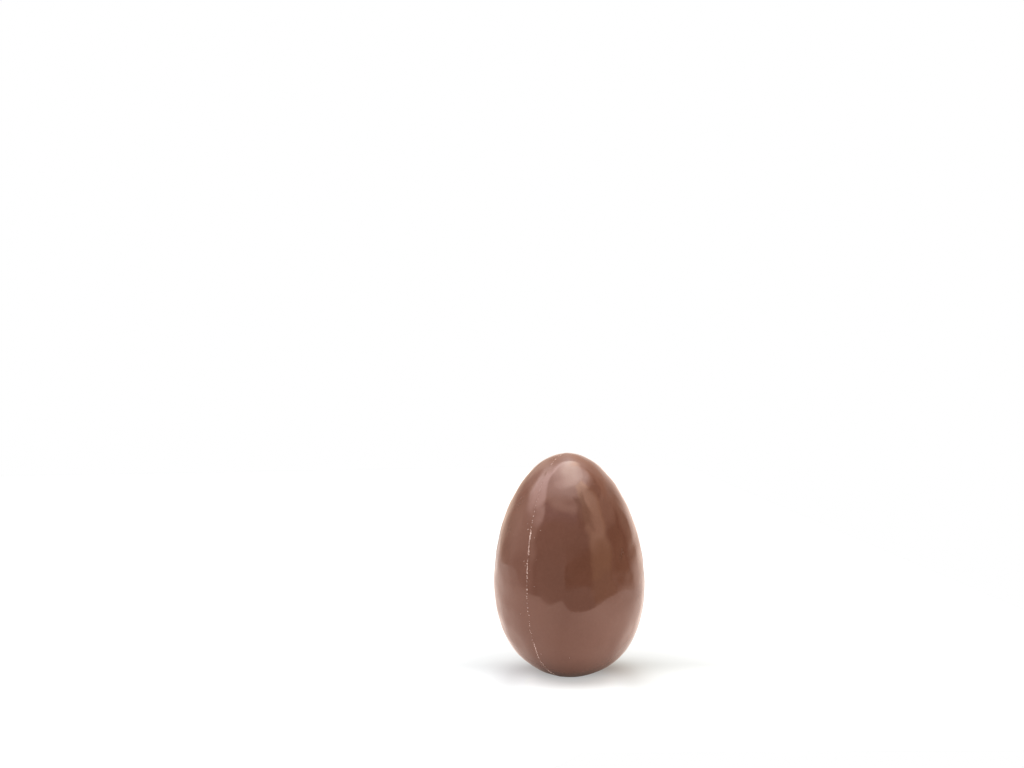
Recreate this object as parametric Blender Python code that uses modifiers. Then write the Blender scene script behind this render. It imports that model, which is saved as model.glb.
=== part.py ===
"""Moulded chocolate egg, standing on its broad end.

A milk chocolate egg cast in a two-part mould. The two halves have set into one piece, and a
thin raised ridge of chocolate marks where they met, from pole to pole all round the egg. A
small flat on the broad end lets it stand.

Metres, +Z up. The origin is the centre of the flat that the egg stands on. The halves met in
the YZ plane, so one mould half made the +X side and the other the -X side.
"""

import math

import bmesh
import bpy

# ---- driving dimensions -----------------------------------------------------
EGG_LENGTH = 0.1550  # pole to pole, before the foot is flattened
MID_RADIUS = 0.0520  # halfway up, a little under the widest
# The outline is an ellipse whose radius is multiplied by 1 + TAPER*s + SWELL*s^2 + TIP*s^3,
# where s runs from -1 at the broad pole to +1 at the pointed pole.
TAPER = -0.138  # narrows the upper end and widens the lower
SWELL = 0.065  # fills out both ends
TIP = -0.032  # sharpens the very top, blunts the very bottom
FOOT_DEPTH = 0.0009  # how much the foot takes off the broad pole: a flat about 20 mm across
RIDGE_WIDTH = 0.0010
RIDGE_HEIGHT = 0.00035

# ---- how finely the round shapes are divided --------------------------------
PROFILE_STEPS = 44  # from pole to pole
TURN_STEPS = 64  # round the axis: a multiple of 4, so that vertices lie in the joint's plane
RIDGE_STEPS = 120  # all round; set so that no bend of the ridge meets an edge of the body
RIDGE_BEVEL_RESOLUTION = 2  # eight sides

HALF_LENGTH = EGG_LENGTH / 2
MID_HEIGHT = HALF_LENGTH - FOOT_DEPTH
MERGE_DISTANCE = 0.00001

CHOCOLATE = (0.165, 0.068, 0.040, 1.0)
CHOCOLATE_ROUGHNESS = 0.28


def clear_scene():
    """Removes every object that is already in the scene."""
    for item in list(bpy.data.objects):
        bpy.data.objects.remove(item, do_unlink=True)


def new_collection(name):
    """A collection of that name, linked under the scene."""
    collection = bpy.data.collections.new(name)
    bpy.context.scene.collection.children.link(collection)
    return collection


def chocolate_material():
    """Milk chocolate with the satin gloss that a polished mould leaves."""
    material = bpy.data.materials.new("milk_chocolate")
    material.use_nodes = True
    shader = material.node_tree.nodes["Principled BSDF"]
    shader.inputs["Base Color"].default_value = CHOCOLATE
    shader.inputs["Roughness"].default_value = CHOCOLATE_ROUGHNESS
    shader.inputs["Metallic"].default_value = 0.0
    return material


def outline_point(t, inset=0.0):
    """The point (across, height) of the egg's outline at the angle t.

    With s = sin(t), the height is HALF_LENGTH * s above MID_HEIGHT and the distance across is
    MID_RADIUS * cos(t) * (1 + TAPER*s + SWELL*s^2 + TIP*s^3), so the outline closes after a
    full turn of t. With an inset, the point moves inwards by that much, at right angles to
    the outline.
    """
    s, c = math.sin(t), math.cos(t)
    stretch = 1 + TAPER * s + SWELL * s**2 + TIP * s**3
    stretch_rate = (TAPER + 2 * SWELL * s + 3 * TIP * s**2) * c
    across_rate = MID_RADIUS * (c * stretch_rate - s * stretch)
    height_rate = HALF_LENGTH * c
    rate = math.hypot(across_rate, height_rate)
    across = MID_RADIUS * c * stretch - inset * height_rate / rate
    height = MID_HEIGHT + HALF_LENGTH * s + inset * across_rate / rate
    return across, height


def turned_egg(collection):
    """The egg's body: its outline, from the pointed pole down to the broad one, turned about Z."""
    quarter = math.pi / 2
    angles = [quarter - math.pi * step / PROFILE_STEPS for step in range(1, PROFILE_STEPS)]
    side = [outline_point(t) for t in angles]
    points = [(0.0, MID_HEIGHT + HALF_LENGTH), *side, (0.0, MID_HEIGHT - HALF_LENGTH)]
    mesh = bpy.data.meshes.new("moulded_egg")
    edges = [(i, i + 1) for i in range(PROFILE_STEPS)]
    mesh.from_pydata([(radius, 0.0, height) for radius, height in points], edges, [])
    egg = bpy.data.objects.new("moulded_egg", mesh)
    collection.objects.link(egg)

    screw = egg.modifiers.new("turn", "SCREW")
    screw.axis = "Z"
    screw.steps = TURN_STEPS
    screw.render_steps = TURN_STEPS
    screw.use_merge_vertices = True
    screw.merge_threshold = MERGE_DISTANCE
    screw.use_smooth_shade = True
    return egg


def seam_ridge(collection):
    """The joint's ridge: a round bar bent along the outline, sunk until it shows
    RIDGE_HEIGHT of itself, RIDGE_WIDTH wide."""
    bar_radius = (RIDGE_WIDTH**2 / 4 + RIDGE_HEIGHT**2) / (2 * RIDGE_HEIGHT)
    angles = [math.tau * (step + 0.5) / RIDGE_STEPS for step in range(RIDGE_STEPS)]
    loop = [outline_point(t, inset=bar_radius - RIDGE_HEIGHT) for t in angles]

    curve = bpy.data.curves.new("seam_ridge", "CURVE")
    curve.dimensions = "3D"
    curve.bevel_depth = bar_radius
    curve.bevel_resolution = RIDGE_BEVEL_RESOLUTION
    spline = curve.splines.new("POLY")
    spline.points.add(len(loop) - 1)
    for point, (across, height) in zip(spline.points, loop):
        point.co = (0.0, across, height, 1.0)
    spline.use_cyclic_u = True
    bent_bar = bpy.data.objects.new("seam_ridge_path", curve)
    collection.objects.link(bent_bar)
    bpy.context.view_layer.update()

    evaluated = bent_bar.evaluated_get(bpy.context.evaluated_depsgraph_get())
    mesh = bpy.data.meshes.new_from_object(evaluated)
    weld(mesh)
    ridge = bpy.data.objects.new("seam_ridge", mesh)
    ridge.matrix_world = bent_bar.matrix_world
    collection.objects.link(ridge)
    bpy.data.objects.remove(bent_bar, do_unlink=True)
    mark_as_tool(ridge)
    return ridge


def weld(mesh):
    """Merges the mesh's doubled vertices and turns its faces outwards."""
    shape = bmesh.new()
    shape.from_mesh(mesh)
    bmesh.ops.remove_doubles(shape, verts=shape.verts, dist=MERGE_DISTANCE)
    bmesh.ops.recalc_face_normals(shape, faces=shape.faces)
    shape.to_mesh(mesh)
    shape.free()


def ground_block(collection):
    """A block whose top is the ground, which cuts the foot flat."""
    mesh = bpy.data.meshes.new("ground_block")
    shape = bmesh.new()
    bmesh.ops.create_cube(shape, size=EGG_LENGTH)
    bmesh.ops.translate(shape, verts=shape.verts, vec=(0.0, 0.0, -EGG_LENGTH / 2))
    shape.to_mesh(mesh)
    shape.free()
    block = bpy.data.objects.new("ground_block", mesh)
    collection.objects.link(block)
    mark_as_tool(block)
    return block


def mark_as_tool(item):
    """Keeps a shape that only joins or cuts another out of renders."""
    item.hide_render = True
    item.display_type = "WIRE"


def combine(target, name, operation, tool):
    """Adds an exact Boolean to the target."""
    boolean = target.modifiers.new(name, "BOOLEAN")
    boolean.operation = operation
    boolean.solver = "EXACT"
    boolean.object = tool


clear_scene()
parts = new_collection("chocolate_egg")
tools = new_collection("shaping_tools")

moulded_egg = turned_egg(parts)
moulded_egg.data.materials.append(chocolate_material())
combine(moulded_egg, "joint_ridge", "UNION", seam_ridge(tools))
combine(moulded_egg, "flat_foot", "DIFFERENCE", ground_block(tools))
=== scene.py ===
"""The looks of a moulded milk chocolate egg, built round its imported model.

The file follows the egg as it is made: the body that sets in the two-part mould, the ridge
where the mould's halves met, and the crumbs that stay beside it. The floor, the studio's
light and the camera come after. Metres, +Z up; the joint of the halves is the YZ plane.
"""

import math

import bpy
import numpy as np
from mathutils import Matrix, Vector


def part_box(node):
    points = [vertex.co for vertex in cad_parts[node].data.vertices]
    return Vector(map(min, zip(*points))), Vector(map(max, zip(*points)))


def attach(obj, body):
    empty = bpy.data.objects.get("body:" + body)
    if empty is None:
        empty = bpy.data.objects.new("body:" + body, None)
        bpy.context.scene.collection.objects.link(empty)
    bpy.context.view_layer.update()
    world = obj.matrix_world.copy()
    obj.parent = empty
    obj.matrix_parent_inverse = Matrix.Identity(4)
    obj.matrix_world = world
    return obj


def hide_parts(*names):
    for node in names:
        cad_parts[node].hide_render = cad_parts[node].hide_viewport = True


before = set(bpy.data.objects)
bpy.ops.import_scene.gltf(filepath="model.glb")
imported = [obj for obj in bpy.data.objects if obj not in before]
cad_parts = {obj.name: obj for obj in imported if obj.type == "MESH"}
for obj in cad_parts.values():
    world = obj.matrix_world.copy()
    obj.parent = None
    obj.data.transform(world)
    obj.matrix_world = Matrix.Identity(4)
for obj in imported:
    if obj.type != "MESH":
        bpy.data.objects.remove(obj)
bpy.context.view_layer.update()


# ---- The body -------------------------------------------------------------------------------
# Milk chocolate that set in a closed two-part mould, so it has the mould's satin gloss. As it
# cooled it shrank a little unevenly, which leaves slow, shallow waves in its reflections, and a
# faint lip on both sides of the joint. The broad end is settled flat where it stands.

TAPER, SWELL, TIP = -0.138, 0.065, -0.032  # the outline's terms in s, s^2 and s^3
FOOT_DEPTH = 0.0009
RIDGE_HEIGHT = 0.00035

egg_low, egg_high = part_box("moulded_egg")
HALF_LENGTH = (egg_high.z + FOOT_DEPTH - RIDGE_HEIGHT) / 2
MID_HEIGHT = HALF_LENGTH - FOOT_DEPTH


def stretch(s):
    """How much wider than an ellipse the egg is where its sphere's height is s."""
    return 1 + TAPER * s + SWELL * s**2 + TIP * s**3


turn = np.linspace(-math.pi / 2, math.pi / 2, 721)
WIDEST = (np.cos(turn) * stretch(np.sin(turn))).max()
MID_RADIUS = (egg_high.x - egg_low.x) / 2 / WIDEST


def egg_surface(sphere):
    """Points and outward normals of the egg for points (sx, sy, sz) of the unit sphere.

    The point is (R sx f, R sy f, H sz), with R the radius halfway up, H the half length and f
    the stretch at sz. The normal is the gradient of (x^2 + y^2) / (R f)^2 + (z / H)^2.
    """
    s = sphere[:, 2]
    f = stretch(s)
    f_rate = TAPER + 2 * SWELL * s + 3 * TIP * s**2
    across = sphere[:, :2] * f[:, None] * MID_RADIUS
    points = np.column_stack([across, MID_HEIGHT + HALF_LENGTH * s])
    slope = (s - (1 - s**2) * f_rate / f) / HALF_LENGTH
    normals = np.column_stack([sphere[:, :2] / (MID_RADIUS * f[:, None]), slope])
    return points, normals / np.linalg.norm(normals, axis=1, keepdims=True)


def waves(points, shortest, longest, count, seed):
    """A sum of plane sine waves of random direction, length and phase, about 1 high."""
    rng = np.random.default_rng(seed)
    ways = rng.normal(size=(count, points.shape[1]))
    ways /= np.linalg.norm(ways, axis=1, keepdims=True)
    lengths = shortest * (longest / shortest) ** rng.random(count)
    phases = points @ (ways * (math.tau / lengths)[:, None]).T + math.tau * rng.random(count)
    return np.sin(phases).sum(axis=1) / math.sqrt(count / 2)


def new_piece(name, points, faces, material):
    """A smooth mesh object at the origin, with its place in its points."""
    mesh = bpy.data.meshes.new(name)
    mesh.from_pydata(points.tolist(), [], faces)
    mesh.validate()
    mesh.shade_smooth()
    mesh.materials.append(material)
    piece = bpy.data.objects.new(name, mesh)
    bpy.context.scene.collection.objects.link(piece)
    return piece


BODY_COLUMNS = 620  # along the joint, right round the egg
BODY_ROWS = 152  # from the middle of one half, across the joint, to the middle of the other
JOINT_ROWS = 0.2  # spacing of the rows at the joint, as a share of their spacing elsewhere
JOINT_BAND = 0.12  # where the rows are close, as a share of those of one half
WAVE_HEIGHT = 0.00011
WAVE_LENGTHS = (0.012, 0.045)
RIPPLE_HEIGHT = 0.000014
RIPPLE_LENGTHS = (0.006, 0.012)
LIP_HEIGHT = 0.00007
LIP_REACH = 0.0011
LIP_LENGTHS = (0.004, 0.020)  # from one thicker place of the lip to the next
HALF_STEP = 0.00004  # how much lower the -X half stands at the joint
HALF_STEP_REACH = 0.007


def skin_lift(points):
    """How far the cast skin stands off the plain outline: slow waves and finer ripples."""
    slow = WAVE_HEIGHT * waves(points, *WAVE_LENGTHS, count=40, seed=11)
    return slow + RIPPLE_HEIGHT * waves(points, *RIPPLE_LENGTHS, count=60, seed=13)


def body_shape():
    """The egg's surface as rows and columns of a sphere whose poles are the halves' middles.

    Row u runs from -1 to 1 with the joint at 0. With c(u) = u - a tanh(u / w), its latitude is
    90 degrees * c(u) / c(1), which crowds the rows at the joint. Waves, ripples, lip and step
    move each point along its normal, and nothing goes below the ground.
    """
    u = np.linspace(-1, 1, BODY_ROWS + 1)[1:-1]
    crowding = JOINT_BAND * (1 - JOINT_ROWS)
    latitude = u - crowding * np.tanh(u / JOINT_BAND)
    latitude *= math.pi / 2 / (1 - crowding * math.tanh(1 / JOINT_BAND))
    longitude = np.arange(BODY_COLUMNS) * math.tau / BODY_COLUMNS
    lat, lon = np.meshgrid(latitude, longitude, indexing="ij")
    ring = np.cos(lat)
    sphere = np.stack([np.sin(lat), ring * np.cos(lon), ring * np.sin(lon)], axis=-1)
    sphere = np.vstack([sphere.reshape(-1, 3), [[-1, 0, 0], [1, 0, 0]]])
    points, normals = egg_surface(sphere)

    x = points[:, 0]
    lift = skin_lift(points)
    uneven = 1 + 0.35 * waves(points, *LIP_LENGTHS, count=24, seed=12)
    lift += LIP_HEIGHT * uneven * np.exp(-((x / LIP_REACH) ** 2))
    lift -= HALF_STEP * np.where(x < 0, 1, 0) * np.exp(-((x / HALF_STEP_REACH) ** 2))
    points = points + normals * lift[:, None]
    points[:, 2] = np.maximum(points[:, 2], 0)
    return points


def body_faces():
    """Quads between neighbouring rows and columns, and a fan of triangles at each pole."""
    rows = BODY_ROWS - 1
    here = np.arange(rows * BODY_COLUMNS).reshape(rows, BODY_COLUMNS)
    after = np.roll(here, -1, axis=1)
    quads = np.stack([here[:-1], after[:-1], after[1:], here[1:]], axis=-1).reshape(-1, 4)
    left, right = here.size, here.size + 1
    left_fan = np.column_stack([np.full(BODY_COLUMNS, left), after[0], here[0]])
    right_fan = np.column_stack([np.full(BODY_COLUMNS, right), here[-1], after[-1]])
    return quads.tolist() + left_fan.tolist() + right_fan.tolist()


def new_group(name, inputs, outputs):
    """An empty shader node group with float, vector and colour sockets of those names."""
    group = bpy.data.node_groups.new(name, "ShaderNodeTree")
    kinds = {"value": "NodeSocketFloat", "vector": "NodeSocketVector", "colour": "NodeSocketColor"}
    for socket, kind in inputs:
        group.interface.new_socket(name=socket, in_out="INPUT", socket_type=kinds[kind])
    for socket, kind in outputs:
        group.interface.new_socket(name=socket, in_out="OUTPUT", socket_type=kinds[kind])
    return group, group.nodes.new("NodeGroupInput"), group.nodes.new("NodeGroupOutput")


def set_sockets(tree, node, sockets):
    """Fills a node's input sockets, each with a plain value or a link, and returns the node."""
    for name, value in sockets.items():
        if isinstance(value, bpy.types.NodeSocket):
            tree.links.new(value, node.inputs[name])
        else:
            node.inputs[name].default_value = value
    return node


def noise(tree, place, scale, detail=2.0, roughness=0.5):
    """A noise texture's value, about 0 to 1 round 0.5."""
    node = tree.nodes.new("ShaderNodeTexNoise")
    sockets = {"Vector": place, "Scale": scale, "Detail": detail, "Roughness": roughness}
    return set_sockets(tree, node, sockets).outputs["Fac"]


def squeeze(tree, place, scale, turn=(0.0, 0.0, 0.0)):
    """The place turned and then scaled, which stretches a texture along its small axes."""
    node = tree.nodes.new("ShaderNodeMapping")
    sockets = {"Vector": place, "Rotation": turn, "Scale": scale}
    return set_sockets(tree, node, sockets).outputs["Vector"]


def between(tree, value, low, high, out_low=0.0, out_high=1.0, curve="SMOOTHSTEP"):
    """Maps low..high to out_low..out_high, smoothly or, with LINEAR, evenly."""
    node = tree.nodes.new("ShaderNodeMapRange")
    node.interpolation_type = curve
    sockets = {0: value, 1: low, 2: high, 3: out_low, 4: out_high}
    return set_sockets(tree, node, sockets).outputs[0]


def work(tree, operation, first, second=0.0, third=0.0):
    """The result of one Math node."""
    node = tree.nodes.new("ShaderNodeMath")
    node.operation = operation
    return set_sockets(tree, node, {0: first, 1: second, 2: third}).outputs[0]


def blend_colours(tree, share, first, second):
    """The first colour where share is 0 and the second where it is 1."""
    node = tree.nodes.new("ShaderNodeMix")
    node.data_type = "RGBA"
    return set_sockets(tree, node, {"Factor": share, 6: first, 7: second}).outputs[2]


def chocolate_tone_group():
    """Colour of set chocolate: cloudy patches, and a fine mottle of cocoa and milk."""
    group, given, out = new_group(
        "chocolate_tone",
        [("Place", "vector"), ("Brown", "colour"), ("Pale", "colour"), ("Mottle", "value")],
        [("Colour", "colour"), ("Haze", "value")],
    )
    place = given.outputs["Place"]
    clouds = between(group, noise(group, place, 30.0, 3.0, 0.55), 0.36, 0.68)
    fine = noise(group, place, 520.0, 5.0, 0.6)
    grain = between(group, fine, 0.3, 0.7, -0.5, 0.5)
    share = work(group, "MULTIPLY_ADD", grain, 0.5, clouds)
    share = work(group, "MULTIPLY", share, given.outputs["Mottle"])
    colour = blend_colours(group, share, given.outputs["Brown"], given.outputs["Pale"])
    set_sockets(group, out, {"Colour": colour, "Haze": clouds})
    return group


def rub_marks_group():
    """Fine, faint scratches in two directions, in patches where the egg was stroked."""
    group, given, out = new_group(
        "rub_marks", [("Place", "vector"), ("Patches", "value")], [("Marks", "value")]
    )
    place = given.outputs["Place"]
    steep = squeeze(group, place, (1.0, 1.0, 0.07), (0.35, 0.25, 0.0))
    slack = squeeze(group, place, (0.12, 0.12, 1.0), (-0.3, 0.5, 0.3))
    first = between(group, noise(group, steep, 900.0, 2.0), 0.62, 0.70)
    second = between(group, noise(group, slack, 700.0, 2.0), 0.64, 0.72)
    lines = work(group, "MAXIMUM", first, second)
    patches = between(group, noise(group, place, 42.0, 2.0), 0.50, 0.66)
    shown = work(group, "MULTIPLY", lines, patches)
    shown = work(group, "MULTIPLY", shown, given.outputs["Patches"])
    set_sockets(group, out, {"Marks": shown})
    return group


def on_the_egg(around, share):
    """The point of the surface that far round from -Y, in degrees, at that share of the height."""
    s = (share * egg_high.z - MID_HEIGHT) / HALF_LENGTH
    ring = math.sqrt(1 - s * s)
    a = math.radians(around)
    sphere = np.array([[ring * math.sin(a), -ring * math.cos(a), s]])
    return tuple(egg_surface(sphere)[0][0].tolist())


# Where the egg was gripped: degrees round from -Y, share of the height, and reach.
GRIPS = [
    (-26, 0.80, 0.011),
    (-27, 0.66, 0.013),
    (79, 0.55, 0.013),
    (118, 0.72, 0.016),
    (-80, 0.45, 0.015),
    (-120, 0.62, 0.017),
    (165, 0.50, 0.016),
    (-160, 0.78, 0.012),
]
JOINT_MARKS_REACH = 0.0016
SPECKS_IN_GRIPS = 0.5  # how strong they are there, against those beside the joint


def grip_marks_group():
    """Dull blotches and pale specks where the egg was gripped, and close beside the joint.

    Close beside the joint, its dark pits are also painted shade of the beads that sit there.
    """
    group, given, out = new_group(
        "grip_marks", [("Place", "vector")], [("Blotches and bead shade", "value"), ("Specks", "value")]
    )
    place = given.outputs["Place"]
    patch = 0.0
    for around, share, reach in GRIPS:
        apart = group.nodes.new("ShaderNodeVectorMath")
        apart.operation = "DISTANCE"
        set_sockets(group, apart, {0: place, 1: on_the_egg(around, share)})
        near = between(group, apart.outputs["Value"], reach * 0.4, reach, 1.0, 0.0)
        patch = work(group, "MAXIMUM", patch, near)
    ragged = between(group, noise(group, place, 150.0, 2.0), 0.42, 0.60)
    patch = work(group, "MULTIPLY", patch, ragged)
    parts = set_sockets(group, group.nodes.new("ShaderNodeSeparateXYZ"), {0: place})
    aside = work(group, "ABSOLUTE", parts.outputs["X"])
    beside = between(group, aside, JOINT_MARKS_REACH * 0.4, JOINT_MARKS_REACH, 1.0, 0.0)
    upright = squeeze(group, place, (1.0, 1.0, 0.4))
    blotches = between(group, noise(group, upright, 480.0, 3.0, 0.6), 0.47, 0.60)
    specks = between(group, noise(group, upright, 1300.0, 2.0), 0.63, 0.70)
    pits = between(group, noise(group, place, 1500.0, 1.0), 0.62, 0.68)
    dull_and_bead_shade = work(group, "MULTIPLY", blotches, patch)
    # The pits close beside the joint are shallow, and they are darkened as painted shade of the
    # beads there.
    dull_and_bead_shade = work(group, "MAXIMUM", dull_and_bead_shade, work(group, "MULTIPLY", pits, beside))
    weaker = work(group, "MULTIPLY", patch, SPECKS_IN_GRIPS)
    pale = work(group, "MULTIPLY", specks, work(group, "MAXIMUM", weaker, beside))
    set_sockets(group, out, {"Blotches and bead shade": dull_and_bead_shade, "Specks": pale})
    return group


PIT_DEPTH = -0.06


def cast_relief_group():
    """Height of the cast skin: a soft orange peel, and shallow pits where it is marked."""
    group, given, out = new_group(
        "cast_relief",
        [("Place", "vector"), ("Peel", "value"), ("Pits", "value")],
        [("Height", "value")],
    )
    place = given.outputs["Place"]
    peel = work(group, "MULTIPLY", noise(group, place, 160.0, 3.0), given.outputs["Peel"])
    height = work(group, "MULTIPLY_ADD", given.outputs["Pits"], PIT_DEPTH, peel)
    set_sockets(group, out, {"Height": height})
    return group


chocolate_tone = chocolate_tone_group()
rub_marks = rub_marks_group()
grip_marks = grip_marks_group()
cast_relief = cast_relief_group()


def placed_group(tree, group, sockets):
    """One of the groups above, set into a material."""
    node = tree.nodes.new("ShaderNodeGroup")
    node.node_tree = group
    return set_sockets(tree, node, sockets)


WARM_GLOSS = (1.0, 0.79, 0.73, 1.0)
DULLED_AND_BEAD_SHADE = (0.055, 0.022, 0.014, 1.0)  # colour of the blotches, and of the painted bead shade
SPECKED = (0.42, 0.29, 0.24, 1.0)  # and of the specks
RUB_STRENGTH, DULL_AND_SHADE_STRENGTH, SPECK_STRENGTH = 0.35, 0.35, 0.3  # how far each changes the colour
RUB_ROUGHNESS, DULL_ROUGHNESS = 0.20, 0.16  # what they add to the roughness
RELIEF_DEPTH = 0.00012


def chocolate(name, brown, pale, mottle, marks, gloss, peel, coat):
    """A chocolate material.

    Brown and pale are the two ends of its mottle. Marks is how strong the rubbing marks are,
    gloss the roughness of its clean and of its hazy places, peel how deep its orange peel is,
    and coat how much of a clear gloss lies over it.
    """
    material = bpy.data.materials.new(name)
    material.use_nodes = True
    tree = material.node_tree
    shader = tree.nodes["Principled BSDF"]
    place = tree.nodes.new("ShaderNodeTexCoord").outputs["Object"]
    tone = placed_group(
        tree, chocolate_tone, {"Place": place, "Brown": brown, "Pale": pale, "Mottle": mottle}
    )
    rubbed = placed_group(tree, rub_marks, {"Place": place, "Patches": marks}).outputs["Marks"]
    gripped = placed_group(tree, grip_marks, {"Place": place}).outputs
    relief = placed_group(
        tree, cast_relief, {"Place": place, "Peel": peel, "Pits": gripped["Blotches and bead shade"]}
    )
    colour = tone.outputs["Colour"]
    for mark, strength, mark_colour in (
        (rubbed, RUB_STRENGTH, pale),
        (gripped["Blotches and bead shade"], DULL_AND_SHADE_STRENGTH, DULLED_AND_BEAD_SHADE),
        (gripped["Specks"], SPECK_STRENGTH, SPECKED),
    ):
        colour = blend_colours(tree, work(tree, "MULTIPLY", mark, strength), colour, mark_colour)
    roughness = between(tree, tone.outputs["Haze"], 0.0, 1.0, *gloss)
    roughness = work(tree, "MULTIPLY_ADD", rubbed, RUB_ROUGHNESS, roughness)
    roughness = work(tree, "MULTIPLY_ADD", gripped["Blotches and bead shade"], DULL_ROUGHNESS, roughness)
    bump = tree.nodes.new("ShaderNodeBump")
    heights = {"Strength": 1.0, "Distance": RELIEF_DEPTH, "Height": relief.outputs["Height"]}
    set_sockets(tree, bump, heights)
    set_sockets(
        tree,
        shader,
        {
            "Base Color": colour,
            "Roughness": roughness,
            "Specular IOR Level": 0.8,
            "Specular Tint": WARM_GLOSS,
            "Sheen Weight": 0.10,
            "Sheen Roughness": 0.35,
            "Sheen Tint": WARM_GLOSS,
            "Coat Weight": coat,
            "Coat Roughness": 0.10,
            "Normal": bump.outputs["Normal"],
        },
    )
    return material


BROWN = (0.114, 0.048, 0.033, 1.0)
PALE_BROWN = (0.152, 0.071, 0.052, 1.0)
body_material = chocolate(
    "milk_chocolate",
    BROWN,
    PALE_BROWN,
    mottle=0.35,
    marks=0.4,
    gloss=(0.09, 0.13),
    peel=0.3,
    coat=0.0,
)
body = new_piece("egg_body", body_shape(), body_faces(), body_material)
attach(body, "root")
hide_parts("moulded_egg")


# ---- The joint's ridge ----------------------------------------------------------------------
# A thread of chocolate that the two mould halves squeezed out between them, where they closed.
# It stands up to a third of a millimetre proud, wanders a little from side to side, and is gone
# in places. It is rubbed pale, and its colour is paler still as a painted highlight where its top
# catches the light. It is fullest a little above the egg's widest part.

RIDGE_STATIONS = 3600
RIDGE_SIDES = 10
RIDGE_HALF_WIDTH = 0.00042
RIDGE_ROOT = 0.00018  # how deep it is sunk in the body
RIDGE_WANDER = 0.00020
RIDGE_START = math.radians(11.5)  # how far from the broad pole the ridge ends, by the angle t
RIDGE_FADE = math.radians(3)
SWELL_LENGTHS = (0.006, 0.030)  # from one fuller place to the next
GRAIN_LENGTHS = (0.0008, 0.0030)
WANDER_LENGTHS = (0.0025, 0.030)
# Along the joint: where, how full the thread is there, and how large the beads that lie on it.
# Where is the share of the height on the -Y side, up to 1 at the pointed pole, and from there on
# it is 2 less that share, down the +Y side to the foot again.
JOINT_FULLNESS = np.array([
    (0.0, 0.35, 0.2),
    (0.18, 0.25, 0.3),
    (0.20, 0.0, 0.6),
    (0.34, 0.0, 0.7),
    (0.47, 0.0, 0.95),
    (0.485, 0.3, 0.6),
    (0.56, 0.35, 0.6),
    (0.585, 0.8, 0.9),
    (0.67, 0.9, 0.9),
    (0.68, 0.0, 1.0),
    (0.79, 0.0, 0.7),
    (0.92, 0.0, 0.15),
    (1.0, 0.1, 0.05),
    (1.3, 0.2, 0.7),
    (1.4, 0.9, 0.8),
    (1.7, 0.3, 0.9),
    (2.0, 0.5, 0.3),
])
ALONG, THREAD, BEADS = JOINT_FULLNESS.T


def joint_line(t):
    """Points, normals and distance travelled along the outline in the YZ plane, at angles t."""
    sphere = np.column_stack([np.zeros_like(t), np.cos(t), np.sin(t)])
    centre, normal = egg_surface(sphere)
    steps = np.linalg.norm(np.diff(centre, axis=0), axis=1)
    return centre, normal, np.concatenate([[0], np.cumsum(steps)])


def share_along(t, centre):
    """Where points of the joint lie along it, as JOINT_FULLNESS gives it."""
    share = centre[:, 2] / egg_high.z
    return np.where(np.cos(t) < 0, share, 2 - share)


def ridge_shape():
    """A lens-shaped bar along the egg's cast skin in the YZ plane.

    Station t runs from one side of the foot over the pointed pole to the other. At the angle v
    round the bar, a point lies W cos v from the joint and H sin v over the skin where sin v is
    positive, or D sin v from it, which is under it, where sin v is negative. W and H change
    along the ridge, and D stays.
    """
    span = math.pi - RIDGE_START
    t = math.pi / 2 + np.linspace(-span, span, RIDGE_STATIONS)
    centre, normal, travel = joint_line(t)
    along = travel[:, None]
    centre = centre + normal * skin_lift(centre)[:, None]

    fullness = np.interp(share_along(t, centre), ALONG, THREAD)
    swell = 0.9 + 0.35 * waves(along, *SWELL_LENGTHS, count=16, seed=21)
    full = fullness * np.clip(swell, 0.15, 1.3)
    rough = np.clip(1 + 0.85 * waves(along, *GRAIN_LENGTHS, count=36, seed=22), 0.0, 2.4)
    near_end = np.clip((span - np.abs(t - math.pi / 2)) / RIDGE_FADE, 0, 1)
    height = RIDGE_HEIGHT * np.clip(full * rough, 0, 1) * near_end
    width = RIDGE_HALF_WIDTH * (0.40 + 0.60 * np.clip(full, 0, 1)) * (0.55 + 0.45 * rough)
    wander = RIDGE_WANDER * waves(along, *WANDER_LENGTHS, count=20, seed=23)

    v = np.arange(RIDGE_SIDES) * math.tau / RIDGE_SIDES
    over = np.where(np.sin(v) > 0, height[:, None] * np.sin(v), RIDGE_ROOT * np.sin(v))
    points = centre[:, None] + normal[:, None] * over[..., None]
    points[..., 0] += wander[:, None] + width[:, None] * np.cos(v)
    points[..., 2] = np.maximum(points[..., 2], 0)
    end_points = centre[[0, -1]] - normal[[0, -1]] * RIDGE_ROOT / 2
    return np.vstack([points.reshape(-1, 3), end_points])


def bar_faces(stations, sides):
    """Quads along a bar and a fan of triangles at each end, whose points come last."""
    here = np.arange(stations * sides).reshape(stations, sides)
    after = np.roll(here, -1, axis=1)
    quads = np.stack([here[:-1], here[1:], after[1:], after[:-1]], axis=-1).reshape(-1, 4)
    first, last = here.size, here.size + 1
    first_fan = np.column_stack([np.full(sides, first), here[0], after[0]])
    last_fan = np.column_stack([np.full(sides, last), after[-1], here[-1]])
    return quads.tolist() + first_fan.tolist() + last_fan.tolist()


# Rubbed pale chocolate, made paler still as a painted highlight where the rounded tops of the
# ridge and the crumbs catch the light from above.
RUBBED_BROWN_HIGHLIT = (0.47, 0.34, 0.31, 1.0)
RUBBED_PALE_HIGHLIT = (0.82, 0.70, 0.675, 1.0)
rubbed_and_highlit_material = chocolate(
    "rubbed_chocolate_painted_highlight",
    RUBBED_BROWN_HIGHLIT,
    RUBBED_PALE_HIGHLIT,
    mottle=1.0,
    marks=0.0,
    gloss=(0.35, 0.5),
    peel=0.3,
    coat=0.2,
)
ridge = new_piece(
    "joint_ridge", ridge_shape(), bar_faces(RIDGE_STATIONS, RIDGE_SIDES), rubbed_and_highlit_material
)
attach(ridge, "root")


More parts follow.
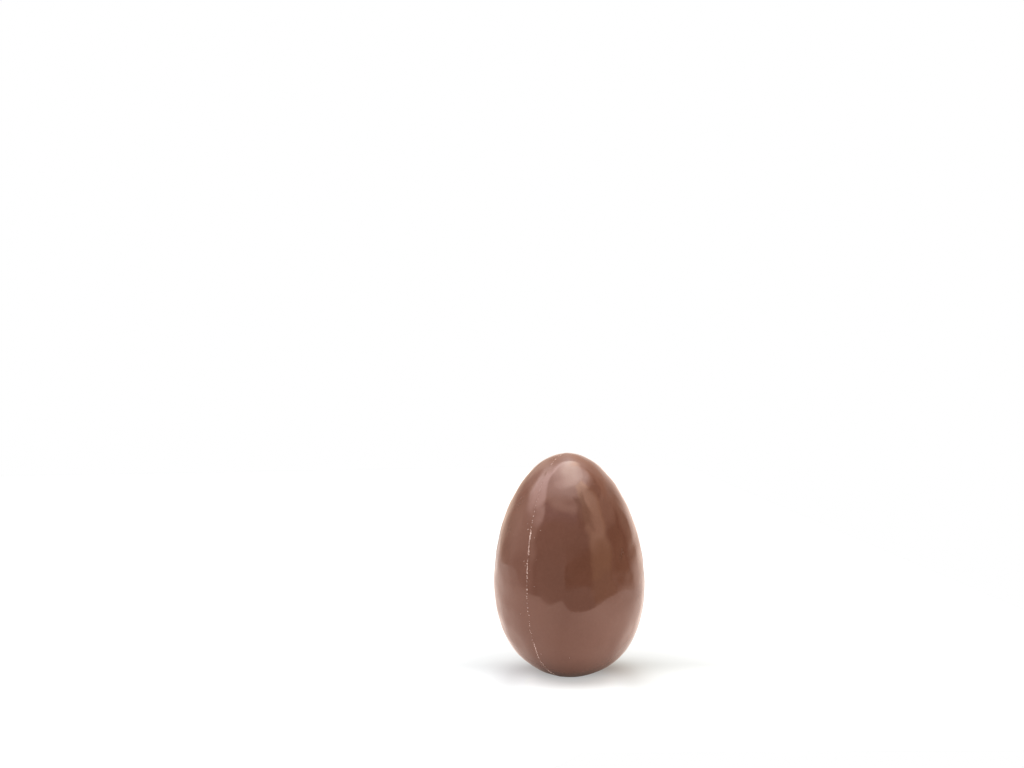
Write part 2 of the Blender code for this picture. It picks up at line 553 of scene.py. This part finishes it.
# ---- The crumbs -----------------------------------------------------------------------------
# Beads and crumbs of the same rubbed chocolate, with the same painted highlight in its colour.
# Most sit on the joint like a broken string of beads, left where the thread was scraped. Some lie
# close beside it, and a few elsewhere.

BEAD_SPACING = (0.0012, 0.0034)
BEAD_SIZE = (0.00020, 0.00055)  # half the length of the smallest and the largest
BEAD_CHIPPED = (0.6, 1.0)  # what is left of it
BEAD_ASIDE = 0.00022
CRUMBS_BESIDE = 70
CRUMBS_BESIDE_REACH = 0.0035
CRUMBS_SCATTERED = 22
CRUMB_SIZE = (0.00009, 0.00019)
CRUMB_SIDES = 8
CRUMB_BANDS = 4
CRUMB_ROUGHNESS = (0.8, 1.15)  # how far in and out its points lie
CRUMB_LONGER = (0.9, 1.6)  # along the joint
CRUMB_FLATTER = (0.6, 0.9)
CRUMB_STANDS = 0.15  # how far its middle stands off the skin, as a share of its size
FOOT_CLEAR = 0.004  # no crumb lies lower than this


def crumb_places(rng):
    """Unit-sphere points for the beads, then for the crumbs beside the joint and elsewhere.

    The second result is how large the beads are where each one lies, from JOINT_FULLNESS.
    """
    t = np.linspace(-math.pi / 2, 1.5 * math.pi, 4001)
    _, _, travel = joint_line(t)
    gaps = rng.uniform(*BEAD_SPACING, size=int(travel[-1] / BEAD_SPACING[0]))
    beads = np.cumsum(gaps)
    beads = beads[beads < travel[-1]]
    beside = rng.uniform(0, travel[-1], CRUMBS_BESIDE)
    turns = np.interp(np.concatenate([beads, beside]), travel, t)
    aside = np.concatenate([
        rng.normal(0, BEAD_ASIDE, beads.size),
        rng.normal(0, CRUMBS_BESIDE_REACH, CRUMBS_BESIDE),
    ]) / MID_RADIUS
    close = np.column_stack([
        np.sin(aside), np.cos(aside) * np.cos(turns), np.cos(aside) * np.sin(turns),
    ])
    scattered = rng.normal(size=(CRUMBS_SCATTERED, 3))
    scattered /= np.linalg.norm(scattered, axis=1, keepdims=True)
    bead_turns = turns[: beads.size]
    centre, _, _ = joint_line(bead_turns)
    fullness = np.interp(share_along(bead_turns, centre), ALONG, BEADS)
    return np.vstack([close, scattered]), fullness


def crumb_shapes():
    """One small rough ellipsoid for each crumb, and its faces.

    The unit sphere on a grid of bands p and sides q has its points moved in or out at random.
    It is then scaled by three sizes, along the joint, across it and out from the skin.
    """
    rng = np.random.default_rng(31)
    sphere, fullness = crumb_places(rng)
    points, normals = egg_surface(sphere)
    points = points + normals * skin_lift(points)[:, None]
    size = rng.uniform(*CRUMB_SIZE, len(points))
    beads = len(fullness)
    size[:beads] = rng.uniform(*BEAD_SIZE, beads) * rng.uniform(*BEAD_CHIPPED, beads) * fullness
    kept = points[:, 2] > FOOT_CLEAR
    points, normals, size = points[kept], normals[kept], size[kept]

    along = np.cross(normals, [1.0, 0.0, 0.0])
    along /= np.linalg.norm(along, axis=1, keepdims=True)
    across = np.cross(along, normals)
    band = np.linspace(0, math.pi, CRUMB_BANDS + 1)[1:-1]
    side = np.arange(CRUMB_SIDES) * math.tau / CRUMB_SIDES
    p, q = np.meshgrid(band, side, indexing="ij")
    ball = np.stack([np.cos(p), np.sin(p) * np.cos(q), np.sin(p) * np.sin(q)], axis=-1)
    ball = np.vstack([ball.reshape(-1, 3), [[1, 0, 0], [-1, 0, 0]]])
    ball = ball[None] * rng.uniform(*CRUMB_ROUGHNESS, (len(points), len(ball), 1))

    longer = rng.uniform(*CRUMB_LONGER, (len(points), 1, 1))
    flatter = rng.uniform(*CRUMB_FLATTER, (len(points), 1, 1))
    shape = ball[..., :1] * flatter * normals[:, None]
    shape = shape + ball[..., 1:2] * longer * along[:, None] + ball[..., 2:] * across[:, None]
    centre = points + normals * (size * CRUMB_STANDS)[:, None]
    shape = centre[:, None] + shape * size[:, None, None]

    here = np.arange(p.size).reshape(p.shape)
    after = np.roll(here, -1, axis=1)
    top, bottom = p.size, p.size + 1
    quads = np.stack([here[:-1], here[1:], after[1:], after[:-1]], axis=-1).reshape(-1, 4)
    top_fan = np.column_stack([np.full(CRUMB_SIDES, top), here[0], after[0]])
    bottom_fan = np.column_stack([np.full(CRUMB_SIDES, bottom), after[-1], here[-1]])
    first = np.arange(len(points))[:, None, None] * ball.shape[1]
    faces = []
    for one in (quads, top_fan, bottom_fan):
        faces += (first + one[None]).reshape(-1, one.shape[1]).tolist()
    return shape.reshape(-1, 3), faces


crumbs = new_piece("joint_crumbs", *crumb_shapes(), rubbed_and_highlit_material)
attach(crumbs, "root")


# ---- The floor ------------------------------------------------------------------------------
# A plain pale board of frosted sheet, lit from below as well, so that the shadow stays light.
# Its front edge is close to the egg, which mirrors the board below it and the room above it.
# The glow that the egg mirrors is dimmed behind the egg and round its foot as painted shadow,
# and the glow that the camera sees is a painted pool of light in front of the egg.

VIEW_AZIMUTH = math.radians(32.2)
to_camera = Vector((math.sin(VIEW_AZIMUTH), -math.cos(VIEW_AZIMUTH), 0.0))
to_right = Vector((math.cos(VIEW_AZIMUTH), math.sin(VIEW_AZIMUTH), 0.0))

FLOOR_DROP = 0.0002
FLOOR_FAR = 3.0
# The board's outline: right of the egg's axis, and in front of it. Its front edge has a step.
FLOOR_OUTLINE = (
    (-FLOOR_FAR, 0.236),
    (-0.030, 0.236),
    (0.005, 0.176),
    (0.400, 0.176),
    (0.400, -FLOOR_FAR),
    (-FLOOR_FAR, -FLOOR_FAR),
)

# How the board looks to the egg. An edge is where a change of its glow begins and ends.
FLOOR_MIRRORED = (0.26, 0.25, 0.245, 1.0)
FLOOR_GLOW = (0.515, 0.434, 0.388, 1.0)
LEFT_GLOW = 0.95  # how much brighter it glows on the left
LEFT_EDGE = (-0.05, -0.01)
RIGHT_GLOW = 2.1  # and on the right
RIGHT_EDGE = (-0.05, 0.10)
FAR_RIGHT_GLOW = 0.5  # what is left of that, farther to the right
FAR_RIGHT_EDGE = (0.06, 0.25)
FAR_GLOW = 0.7  # what is left at a distance, all round
FAR_EDGE = (0.4, 1.2)
PAINTED_SHADOW_GLOW = 0.27  # what is left behind the egg, in a wedge that widens: painted shadow of the egg
PAINTED_SHADOW_MIDDLE = 0.01
PAINTED_SHADOW_WIDENS = 0.35
PAINTED_SHADOW_EDGE = (0.0, 0.07)
PAINTED_SHADOW_FRONT_EDGE = (-0.01, 0.05)
FOOT_PAINTED_SHADOW = 0.2  # what is left close round the foot: painted contact shadow
FOOT_PAINTED_SHADOW_EDGE = (0.012, 0.052)

# How it looks to the camera.
FLOOR_SEEN = (0.505, 0.57, 0.605, 1.0)
# A painted pool of light on the board in front of the egg, so that the shadow the camera sees lies
# behind the egg.
PAINTED_LIGHT_IN_FRONT = 0.46
FRONT_EDGE = (-0.032, 0.018)
SIDE_GLOW = 0.58  # what is left of that on both sides
SIDE_EDGE = (0.025, 0.045)
GLOW_AROUND = 0.35  # at a distance
AROUND_EDGE = (0.08, 0.22)


def along_way(tree, vector, way):
    """The dot product of a vector and a fixed direction."""
    node = tree.nodes.new("ShaderNodeVectorMath")
    node.operation = "DOT_PRODUCT"
    return set_sockets(tree, node, {0: vector, 1: way}).outputs["Value"]


def product(tree, *values):
    """The product of two or more values."""
    total = values[0]
    for value in values[1:]:
        total = work(tree, "MULTIPLY", total, value)
    return total


def glow_for_egg(tree, aside, front, distance):
    """How strongly the board glows for the egg: more at the sides, less far off, and less behind
    the egg and round its foot, where it is dimmed as painted shadow of the egg.
    """
    left = between(tree, aside, *LEFT_EDGE, LEFT_GLOW, 0.0, "LINEAR")
    right = between(tree, aside, *RIGHT_EDGE, 0.0, RIGHT_GLOW, "LINEAR")
    far_right = between(tree, aside, *FAR_RIGHT_EDGE, 1.0, FAR_RIGHT_GLOW, "LINEAR")
    sides = work(tree, "ADD", left, work(tree, "MULTIPLY", right, far_right))
    off_middle = work(tree, "ABSOLUTE", work(tree, "SUBTRACT", aside, PAINTED_SHADOW_MIDDLE))
    behind = work(tree, "MAXIMUM", work(tree, "MULTIPLY", front, -1.0), 0.0)
    outside = work(tree, "MULTIPLY_ADD", behind, -PAINTED_SHADOW_WIDENS, off_middle)
    clear = between(tree, outside, *PAINTED_SHADOW_EDGE)
    clear = work(tree, "MAXIMUM", clear, between(tree, front, *PAINTED_SHADOW_FRONT_EDGE))
    clear = work(tree, "MULTIPLY_ADD", clear, 1.0 - PAINTED_SHADOW_GLOW, PAINTED_SHADOW_GLOW)
    far_off = between(tree, distance, *FAR_EDGE, 1.0, FAR_GLOW, "LINEAR")
    painted_foot_shadow = between(tree, distance, *FOOT_PAINTED_SHADOW_EDGE, FOOT_PAINTED_SHADOW, 1.0)
    return product(tree, work(tree, "ADD", sides, 1.0), clear, far_off, painted_foot_shadow)


def glow_for_camera(tree, aside, front, distance):
    """How strongly it glows for the camera: in front of the egg, as a painted pool of light that
    leaves the egg's seen shadow lying behind it, and all round farther off.
    """
    painted_light_in_front = between(tree, front, *FRONT_EDGE, 0.0, PAINTED_LIGHT_IN_FRONT)
    straight_ahead = between(tree, work(tree, "ABSOLUTE", aside), *SIDE_EDGE, 1.0, SIDE_GLOW)
    around = between(tree, distance, *AROUND_EDGE, 0.0, GLOW_AROUND)
    return work(tree, "MAXIMUM", work(tree, "MULTIPLY", painted_light_in_front, straight_ahead), around)


def glowing_sheet(tree, colour, glow_colour, glow_strength):
    """A matt surface with light of its own added."""
    matt = tree.nodes.new("ShaderNodeBsdfDiffuse")
    set_sockets(tree, matt, {"Color": colour})
    light = tree.nodes.new("ShaderNodeEmission")
    set_sockets(tree, light, {"Color": glow_colour, "Strength": glow_strength})
    both = tree.nodes.new("ShaderNodeAddShader")
    return set_sockets(tree, both, {0: matt.outputs[0], 1: light.outputs[0]}).outputs[0]


def floor_material():
    """Frosted sheet. The camera sees it white, and the egg mirrors it dimmer and warmer."""
    material = bpy.data.materials.new("pale_board")
    material.use_nodes = True
    tree = material.node_tree
    tree.nodes.remove(tree.nodes["Principled BSDF"])
    place = tree.nodes.new("ShaderNodeTexCoord").outputs["Object"]
    aside = along_way(tree, place, to_right)
    front = along_way(tree, place, to_camera)
    distance = tree.nodes.new("ShaderNodeVectorMath")
    distance.operation = "LENGTH"
    distance = set_sockets(tree, distance, {0: place}).outputs["Value"]
    egg_glow = glow_for_egg(tree, aside, front, distance)
    mirrored = glowing_sheet(tree, FLOOR_MIRRORED, FLOOR_GLOW, egg_glow)
    camera_glow = glow_for_camera(tree, aside, front, distance)
    seen = glowing_sheet(tree, FLOOR_SEEN, (1.0, 1.0, 1.0, 1.0), camera_glow)
    choose = tree.nodes.new("ShaderNodeMixShader")
    camera_ray = tree.nodes.new("ShaderNodeLightPath").outputs["Is Camera Ray"]
    set_sockets(tree, choose, {0: camera_ray, 1: mirrored, 2: seen})
    set_sockets(tree, tree.nodes["Material Output"], {"Surface": choose.outputs[0]})
    return material


corners = [to_right * right + to_camera * front for right, front in FLOOR_OUTLINE]
corners = np.array(corners) - [0.0, 0.0, FLOOR_DROP]
floor = new_piece("floor", corners, [tuple(range(len(corners)))], floor_material())


# ---- The studio -----------------------------------------------------------------------------
# Pale walls and ceiling, a soft box overhead and a wide soft lamp high on the left. The side
# behind the camera is darker, with its stand, and on the right are wood, a doorway and curtains.

def glow_round_top(tree, up, steps):
    """Brightness by the angle from straight up, whose cosine is up, in steps that add up.

    Each step is (degrees, brightness), and between two of them the brightness changes evenly
    with the cosine.
    """
    total = steps[-1][1]
    for (near, bright), (far, dim) in zip(steps, steps[1:]):
        cosines = math.cos(math.radians(far)), math.cos(math.radians(near))
        share = between(tree, up, *cosines, 0.0, bright - dim, "LINEAR")
        total = work(tree, "ADD", total, share)
    return total


def window(tree, value, low, high, soft):
    """1 between low and high and 0 outside, with edges that soft wide."""
    rise = between(tree, value, low - soft / 2, low + soft / 2)
    fall = between(tree, value, high - soft / 2, high + soft / 2, 1.0, 0.0)
    return work(tree, "MULTIPLY", rise, fall)


def mix_light(tree, kind, share, light, colour):
    """The light with the colour added (ADD) or multiplied by it (MULTIPLY) where share is 1."""
    node = tree.nodes.new("ShaderNodeMix")
    node.data_type = "RGBA"
    node.blend_type = kind
    return set_sockets(tree, node, {"Factor": share, 6: light, 7: (*colour, 1.0)}).outputs[2]


# Ceiling light by the angle from straight up, and its tint overhead and near level.
CEILING = [(20, 3.7), (26, 2.4), (32, 2.3), (40, 1.9), (46, 1.5), (60, 1.07), (90, 1.7)]
OVERHEAD_TINT = (1.0, 0.93, 0.92, 1.0)
LEVEL_TINT = (1.0, 0.82, 0.715, 1.0)
TINT_EDGE = (35.0, 62.0)  # degrees up

# What is overhead is laid out on a sheet one unit up: u to the right, v to the camera. An edge
# is where a thing begins and ends to show.
SHEET_EDGE = (0.2, 0.3)  # how steeply up a ray has to go to meet the sheet
SOFT_BOX_LIGHT = (2.47, 2.68, 2.47)
SOFT_BOX_ACROSS = (-0.12, 0.352)
SOFT_BOX_SOFTNESS = 0.30
SOFT_BOX_BACK_EDGE = (-0.527, -0.448)
SOFT_BOX_FRONT_EDGE = (-0.12, 0.72)
LEFT_LAMP_LIGHT = (2.17, 1.93, 2.03)
LEFT_LAMP_SLANT = 0.85
LEFT_LAMP_FAR_EDGE = (-2.86, -1.1)
LEFT_LAMP_NEAR_EDGE = (-0.512, -0.397)
LEFT_LAMP_BACK_EDGE = (-0.655, -0.04)
LEFT_LAMP_LOW_EDGE = (22.5, 42.5)  # degrees up
DARK_CEILING = (0.82, 0.82, 0.82)
DARK_CEILING_LEFT_EDGE = (0.57, 0.69)
DARK_CEILING_BACK_EDGE = (-1.38, -0.5)
DARK_CEILING_FRONT_EDGE = (0.34, 0.69)
# More of it: extent in u, extent in v, softness of its edges in each, and the share of each
# colour of the light that is left.
OVERHEAD = {
    "back left ceiling": ((-1.4, -0.48), (-2.05, -0.28), (0.35, 0.26), (1.76, 1.86, 1.98)),
    "back right ceiling": ((0.115, 1.59), (-1.67, -0.13), (0.33, 0.21), (0.95, 0.83, 0.75)),
    "soft box rim": ((0.40, 0.67), (-0.20, 0.27), (0.11, 0.22), (1.44, 1.43, 1.42)),
    "ceiling beam": ((0.72, 1.16), (-0.24, 0.36), (0.11, 0.18), (0.49, 0.465, 0.425)),
}
# What stands round the egg: azimuths, elevations, softness of its edges in each, and the share
# of each colour of the light that is left.
SURROUNDINGS = {
    "left wall": ((-128, -53), (-90, 10), (15, 18), (0.56, 0.55, 0.55)),
    "dark side": ((-57.5, 33.5), (-90, 34.5), (13, 10), (0.355, 0.37, 0.37)),
    "mauve cornice": ((-55, 21.5), (33, 43), (4, 7.5), (0.365, 0.42, 0.56)),
    "shelf": ((16, 50), (29.5, 53), (7.5, 6.5), (0.355, 0.405, 0.40)),
    "camera stand": ((-7, 33), (-6, 15.5), (2.5, 9.5), (0.305, 0.27, 0.18)),
    "wood": ((31.5, 73), (-15, 15.5), (5, 12), (0.425, 0.395, 0.315)),
    "pale wood": ((31.5, 73), (2, 65), (6, 5), (1.47, 1.37, 1.17)),
    "right wall": ((68, 122), (23, 57), (4.4, 3.3), (0.94, 0.86, 0.78)),
    "curtain rail": ((77, 121), (48, 58), (12, 5), (0.80, 0.79, 0.78)),
    "doorway": ((71, 110), (-7.5, 24), (12, 16), (0.21, 0.165, 0.105)),
    "door frame": ((100, 131), (0, 25.5), (9, 9), (0.34, 0.30, 0.245)),
    "curtain": ((-171, -110), (-5, 64), (26, 11.5), (0.65, 0.62, 0.57)),
    "curtain fold": ((-137, -119), (15, 48), (6, 8), (0.78, 0.75, 0.77)),
}


def hang_overhead(tree, light, up, u, v, elevation):
    """The light with the two lamps added to it, and dimmed where the ceiling is darker."""
    overhead = between(tree, up, *SHEET_EDGE)
    soft_box = product(
        tree,
        overhead,
        window(tree, u, *SOFT_BOX_ACROSS, SOFT_BOX_SOFTNESS),
        between(tree, v, *SOFT_BOX_BACK_EDGE),
        between(tree, v, *SOFT_BOX_FRONT_EDGE, 1.0, 0.0),
    )
    light = mix_light(tree, "ADD", soft_box, light, SOFT_BOX_LIGHT)
    slant = work(tree, "MULTIPLY_ADD", v, LEFT_LAMP_SLANT, u)
    left_lamp = product(
        tree,
        overhead,
        between(tree, slant, *LEFT_LAMP_FAR_EDGE),
        between(tree, slant, *LEFT_LAMP_NEAR_EDGE, 1.0, 0.0),
        between(tree, v, *LEFT_LAMP_BACK_EDGE),
        between(tree, elevation, *LEFT_LAMP_LOW_EDGE),
    )
    light = mix_light(tree, "ADD", left_lamp, light, LEFT_LAMP_LIGHT)
    dark = product(
        tree,
        overhead,
        between(tree, u, *DARK_CEILING_LEFT_EDGE),
        between(tree, v, *DARK_CEILING_FRONT_EDGE, 1.0, 0.0),
        between(tree, v, *DARK_CEILING_BACK_EDGE),
    )
    light = mix_light(tree, "MULTIPLY", dark, light, DARK_CEILING)
    for extent_u, extent_v, soft, left_over in OVERHEAD.values():
        in_u = window(tree, u, *extent_u, soft[0])
        in_v = window(tree, v, *extent_v, soft[1])
        share = product(tree, overhead, in_u, in_v)
        light = mix_light(tree, "MULTIPLY", share, light, left_over)
    return light


def stand_round(tree, light, azimuth, elevation):
    """The light, dimmed and tinted where something stands in its way."""
    for azimuths, elevations, soft, left_over in SURROUNDINGS.values():
        in_azimuth = window(tree, azimuth, *azimuths, soft[0])
        in_elevation = window(tree, elevation, *elevations, soft[1])
        share = work(tree, "MULTIPLY", in_azimuth, in_elevation)
        light = mix_light(tree, "MULTIPLY", share, light, left_over)
    return light


def studio():
    """World light: the camera sees plain white, and everything else the lamps and the room."""
    world = bpy.data.worlds.new("studio")
    bpy.context.scene.world = world
    world.use_nodes = True
    tree = world.node_tree
    ray = tree.nodes.new("ShaderNodeTexCoord").outputs["Generated"]
    turned = tree.nodes.new("ShaderNodeVectorRotate")
    turned.rotation_type = "Z_AXIS"
    set_sockets(tree, turned, {"Vector": ray, "Angle": -VIEW_AZIMUTH})
    parts = tree.nodes.new("ShaderNodeSeparateXYZ")
    set_sockets(tree, parts, {0: turned.outputs["Vector"]})
    across, up = parts.outputs["X"], parts.outputs["Z"]
    forward = work(tree, "MULTIPLY", parts.outputs["Y"], -1.0)
    azimuth = work(tree, "MULTIPLY", work(tree, "ARCTAN2", across, forward), math.degrees(1))
    elevation = work(tree, "MULTIPLY", work(tree, "ARCSINE", up), math.degrees(1))
    height = work(tree, "MAXIMUM", up, 0.05)
    u = work(tree, "DIVIDE", across, height)
    v = work(tree, "DIVIDE", forward, height)

    tint = blend_colours(tree, between(tree, elevation, *TINT_EDGE), LEVEL_TINT, OVERHEAD_TINT)
    ceiling = glow_round_top(tree, up, CEILING)
    light = tree.nodes.new("ShaderNodeVectorMath")
    light.operation = "SCALE"
    light = set_sockets(tree, light, {0: tint, "Scale": ceiling}).outputs[0]
    light = hang_overhead(tree, light, up, u, v, elevation)
    light = stand_round(tree, light, azimuth, elevation)

    background = tree.nodes["Background"]
    set_sockets(tree, background, {"Color": light, "Strength": 1.0})
    seen = tree.nodes.new("ShaderNodeBackground")
    set_sockets(tree, seen, {"Color": (1.0, 1.0, 1.0, 1.0), "Strength": 1.0})
    choose = tree.nodes.new("ShaderNodeMixShader")
    camera_ray = tree.nodes.new("ShaderNodeLightPath").outputs["Is Camera Ray"]
    set_sockets(
        tree, choose, {0: camera_ray, 1: background.outputs[0], 2: seen.outputs[0]}
    )
    set_sockets(tree, tree.nodes["World Output"], {"Surface": choose.outputs[0]})


studio()
bpy.context.scene.view_settings.view_transform = "Standard"


# ---- The camera -----------------------------------------------------------------------------
# It stands a little above the egg's middle and looks past it on the left, well over its top.

CAMERA_REACH = 0.768  # level distance from the egg's axis
CAMERA_HEIGHT = 0.1803
AIM_ASIDE = 0.0374  # where it looks, in the plane through the axis: left of the axis
AIM_HEIGHT = MID_HEIGHT + 0.1269
ROLL = math.radians(-1.13)
SENSOR_WIDTH = 36.0  # millimetres, as the lens is
LENS = 38.25

camera_data = bpy.data.cameras.new("camera")
camera_data.sensor_width = SENSOR_WIDTH
camera_data.lens = LENS
camera = bpy.data.objects.new("camera", camera_data)
bpy.context.scene.collection.objects.link(camera)
stand = to_camera * CAMERA_REACH + Vector((0.0, 0.0, CAMERA_HEIGHT))
aim = to_right * -AIM_ASIDE + Vector((0.0, 0.0, AIM_HEIGHT))
facing = (aim - stand).to_track_quat("-Z", "Y").to_matrix()
camera.matrix_world = Matrix.Translation(stand) @ (facing @ Matrix.Rotation(ROLL, 3, "Z")).to_4x4()
bpy.context.scene.camera = camera
